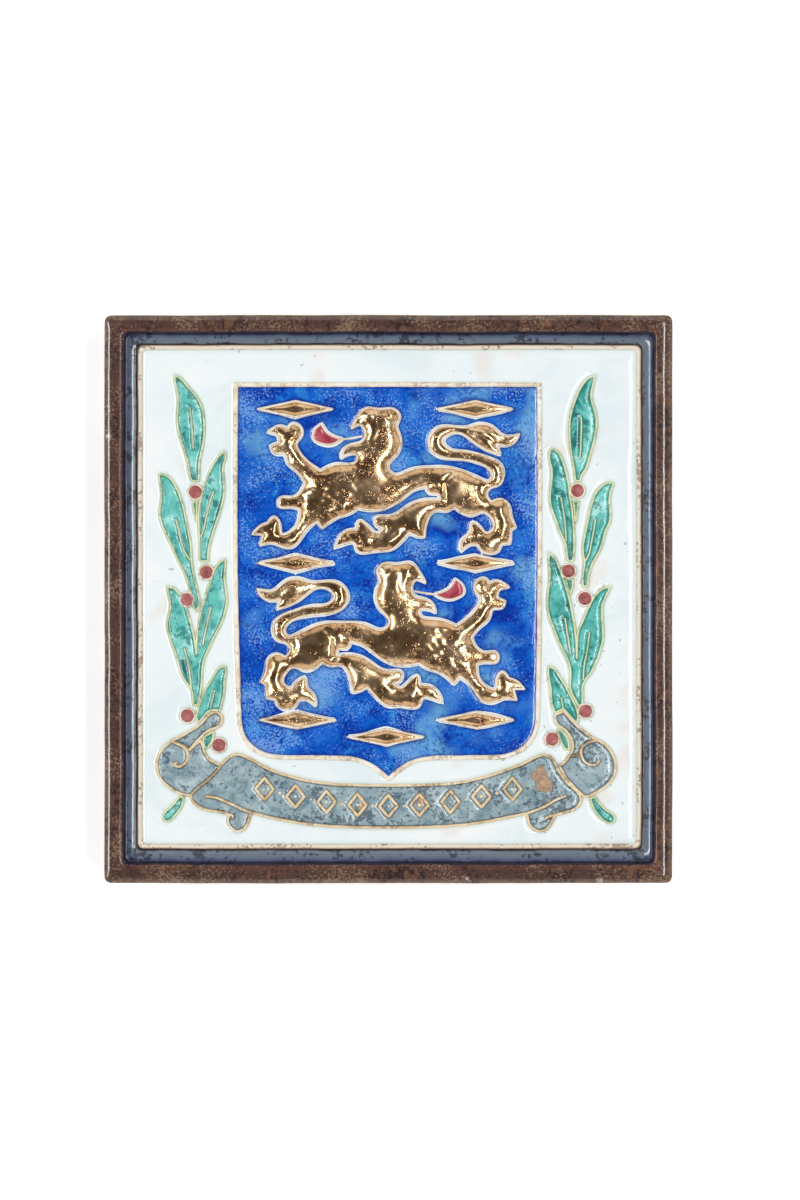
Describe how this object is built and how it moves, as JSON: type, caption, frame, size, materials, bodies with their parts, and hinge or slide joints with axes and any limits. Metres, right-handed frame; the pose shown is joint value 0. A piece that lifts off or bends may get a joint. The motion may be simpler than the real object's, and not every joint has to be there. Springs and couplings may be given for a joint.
{
  "type": "relief tile",
  "caption": "Square fired clay tile with a moulded rim and a raised shield, walking lions, leafy branches and bare ribbon; its keyed flat back rests on or bonds to a surface.",
  "frame": {"origin": "centre of the flat back, on the plane the tile lies on", "axes": "+Z out of the picture side, +Y towards the picture's top, +X to its right"},
  "size_m": [0.108, 0.108, 0.012],
  "materials": {
    "glazed_clay": "glossy coloured glazes over a cream fired clay, bare on the back"
  },
  "bodies": {
    "root": {"tile": "glazed_clay"}
  },
  "joints": []
}
